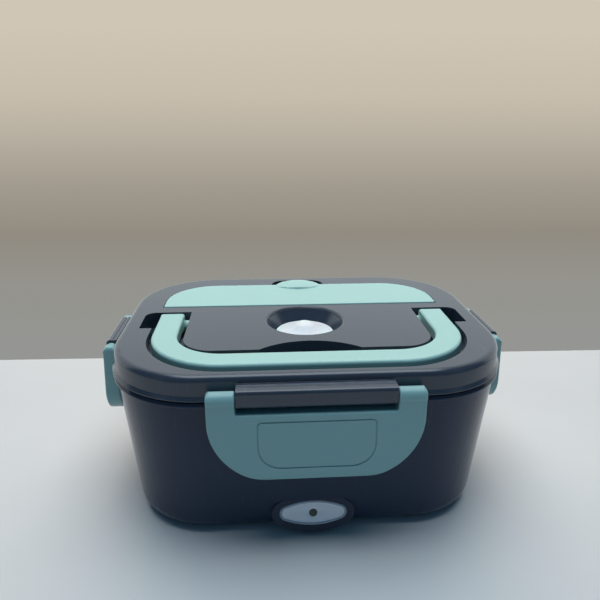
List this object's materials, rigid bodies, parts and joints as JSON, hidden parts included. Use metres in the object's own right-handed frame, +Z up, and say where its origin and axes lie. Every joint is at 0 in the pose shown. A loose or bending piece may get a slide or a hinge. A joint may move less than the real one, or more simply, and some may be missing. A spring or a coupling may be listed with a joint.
{
  "type": "electric lunch box",
  "caption": "Rounded rectangular electric lunch box with a lift-off latched lid, fold-flat handle, cutlery bay, steam valve and a removable steel container over a heating plate.",
  "frame": {"origin": "centre of the footprint, on the plane of the feet", "axes": "+X to the right, +Y to the back, +Z up; the badge and the long front latch face -Y"},
  "size_m": [0.238, 0.1822, 0.1027],
  "materials": {
    "slate_shell": "slate blue-grey gloss polypropylene",
    "slate_lid": "slate grey gloss polypropylene",
    "mint_plastic": "mint green satin polypropylene",
    "white_silicone": "milky white silicone",
    "black_rubber": "matt black rubber",
    "black_moulding": "black phenolic moulding",
    "screw_steel": "plated steel",
    "liner_aluminium": "pressed aluminium",
    "element_case": "aluminium case of the element",
    "container_steel": "brushed stainless steel",
    "cutlery_steel": "polished stainless steel",
    "brass_pin": "plated brass",
    "fuse_sleeve": "woven glass sleeve",
    "wire_sleeve": "silicone wire sleeve",
    "badge_print": "pale blue-white gloss plate",
    "green_lens": "dark green translucent lens",
    "board_green": "green circuit board",
    "clear_tray": "frosted polypropylene"
  },
  "bodies": {
    "base": {"outer_shell": "slate_shell", "bottom_cover": "slate_shell", "bottom_screws": "screw_steel", "rubber_feet": "black_rubber", "heat_liner": "liner_aluminium", "heating_plate": "liner_aluminium", "heater_element": "element_case", "heater_screws": "screw_steel", "thermostat": "black_moulding", "thermal_fuse": "fuse_sleeve", "lead_wires": "wire_sleeve", "ac_inlet": "black_moulding", "ac_inlet_pins": "brass_pin", "dc_inlet": "black_moulding", "dc_inlet_pin": "brass_pin", "power_badge": "badge_print", "indicator_lens": "green_lens", "indicator_board": "board_green"},
    "container": {"steel_container": "container_steel"},
    "tray": {"side_dish_tray": "clear_tray"},
    "lid": {"lid_shell": "slate_lid", "lid_inner_panel": "slate_shell", "lid_seal": "white_silicone", "spoon": "cutlery_steel", "fork": "cutlery_steel"},
    "handle": {"carry_handle": "mint_plastic"},
    "cover": {"cutlery_cover": "mint_plastic"},
    "valve": {"steam_valve": "white_silicone"},
    "latch_front": {"latch_front": "mint_plastic"},
    "latch_rear": {"latch_rear": "mint_plastic"},
    "latch_left": {"latch_left": "mint_plastic"},
    "latch_right": {"latch_right": "mint_plastic"},
    "port_cover": {"port_cover": "black_rubber"}
  },
  "joints": [
    {"name": "lid_lift", "type": "slide", "parent": "base", "child": "lid", "axis": [0, 0, 1], "range_m": [0, 0.18]},
    {"name": "container_lift", "type": "slide", "parent": "base", "child": "container", "axis": [0, 0, 1], "range_m": [0, 0.09]},
    {"name": "tray_lift", "type": "slide", "parent": "container", "child": "tray", "axis": [0, 0, 1], "range_m": [0, 0.045]},
    {"name": "front_latch", "type": "hinge", "parent": "lid", "child": "latch_front", "pos_m": [0, -0.0852, 0.0911], "axis": [-1, 0, 0], "range_deg": [0, 90]},
    {"name": "rear_latch", "type": "hinge", "parent": "lid", "child": "latch_rear", "pos_m": [0, 0.0852, 0.0911], "axis": [1, 0, 0], "range_deg": [0, 90]},
    {"name": "left_latch", "type": "hinge", "parent": "lid", "child": "latch_left", "pos_m": [-0.1132, 0, 0.0898], "axis": [0, 1, 0], "range_deg": [0, 90]},
    {"name": "right_latch", "type": "hinge", "parent": "lid", "child": "latch_right", "pos_m": [0.1132, 0, 0.0898], "axis": [0, -1, 0], "range_deg": [0, 90]},
    {"name": "handle_fold", "type": "hinge", "parent": "lid", "child": "handle", "pos_m": [0, 0.001, 0.095], "axis": [-1, 0, 0], "range_deg": [0, 90]},
    {"name": "cover_hinge", "type": "hinge", "parent": "lid", "child": "cover", "pos_m": [0, 0.0212, 0.0988], "axis": [1, 0, 0], "range_deg": [0, 95]},
    {"name": "valve_pull", "type": "slide", "parent": "lid", "child": "valve", "axis": [0, 0, 1], "range_m": [0, 0.004]},
    {"name": "port_cover_hinge", "type": "hinge", "parent": "base", "child": "port_cover", "pos_m": [0, 0.077, 0.0213], "axis": [1, 0, 0], "range_deg": [0, 110]}
  ],
  "couplings": [
    {"joint": "container_lift", "follows": "lid_lift", "ratio": 0.5},
    {"joint": "tray_lift", "follows": "lid_lift", "ratio": 0.25}
  ]
}
